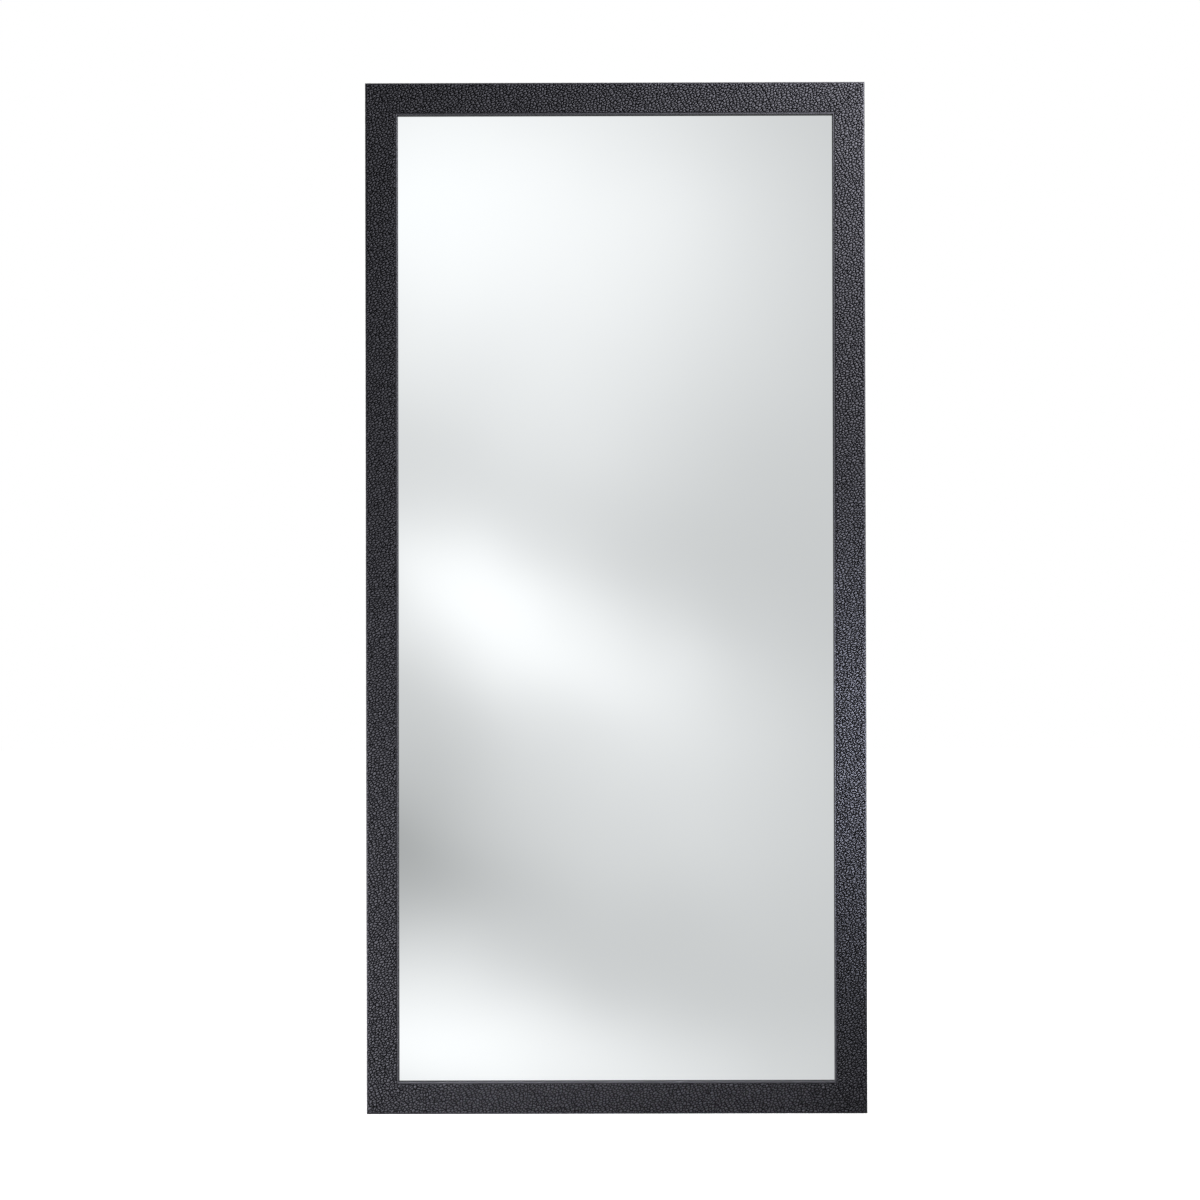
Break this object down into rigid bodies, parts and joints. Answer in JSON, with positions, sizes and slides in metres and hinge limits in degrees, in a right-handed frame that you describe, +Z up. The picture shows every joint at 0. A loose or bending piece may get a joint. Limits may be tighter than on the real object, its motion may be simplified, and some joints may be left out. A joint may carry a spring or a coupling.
{
  "type": "full-length mirror",
  "caption": "Tall rectangular wall mirror in a flat, mitred charcoal frame with a pebble-grained covering, hung by D-rings on its back.",
  "frame": {"origin": "on the wall plane, midway between the two wall hooks, at the height where the D-rings bear on them", "axes": "+Z up, +Y from the front of the mirror towards the wall, +X to the right seen from the front"},
  "size_m": [0.813, 0.033, 1.676],
  "materials": {
    "core": "raw fibreboard",
    "cover": "embossed pebble grain, satin",
    "tape": "matt",
    "mirror": "polished",
    "silvering": "backing paint over silver",
    "block": "matt",
    "card": "plain",
    "hardboard": "smooth hardboard",
    "steel": "bright zinc plate",
    "bumper": "matt"
  },
  "bodies": {
    "frame": {"back_board": "hardboard", "bottom_rail_core": "core", "bottom_rail_cover": "cover", "edge_spacers": "block", "filler_board": "card", "framing_points": "steel", "glazing_tape_bottom": "tape", "glazing_tape_left": "tape", "glazing_tape_right": "tape", "glazing_tape_top": "tape", "hanger_screws": "steel", "hanger_strap_left": "steel", "hanger_strap_right": "steel", "left_stile_core": "core", "left_stile_cover": "cover", "mirror_glass": "mirror", "mirror_silvering": "silvering", "right_stile_core": "core", "right_stile_cover": "cover", "setting_blocks": "block", "top_rail_core": "core", "top_rail_cover": "cover", "v_nails": "steel", "wall_bumper_bottom_left": "bumper", "wall_bumper_bottom_right": "bumper", "wall_bumper_top_left": "bumper", "wall_bumper_top_right": "bumper"},
    "left_ring": {"hanger_ring_left": "steel"},
    "right_ring": {"hanger_ring_right": "steel"}
  },
  "joints": [
    {"name": "left_ring_turn", "type": "hinge", "parent": "frame", "child": "left_ring", "pos_m": [-0.38075, -0.0032, -0.0145], "axis": [-1, 0, 0], "range_deg": [-3, 175]},
    {"name": "right_ring_turn", "type": "hinge", "parent": "frame", "child": "right_ring", "pos_m": [0.38075, -0.0032, -0.0145], "axis": [-1, 0, 0], "range_deg": [-3, 175]}
  ]
}
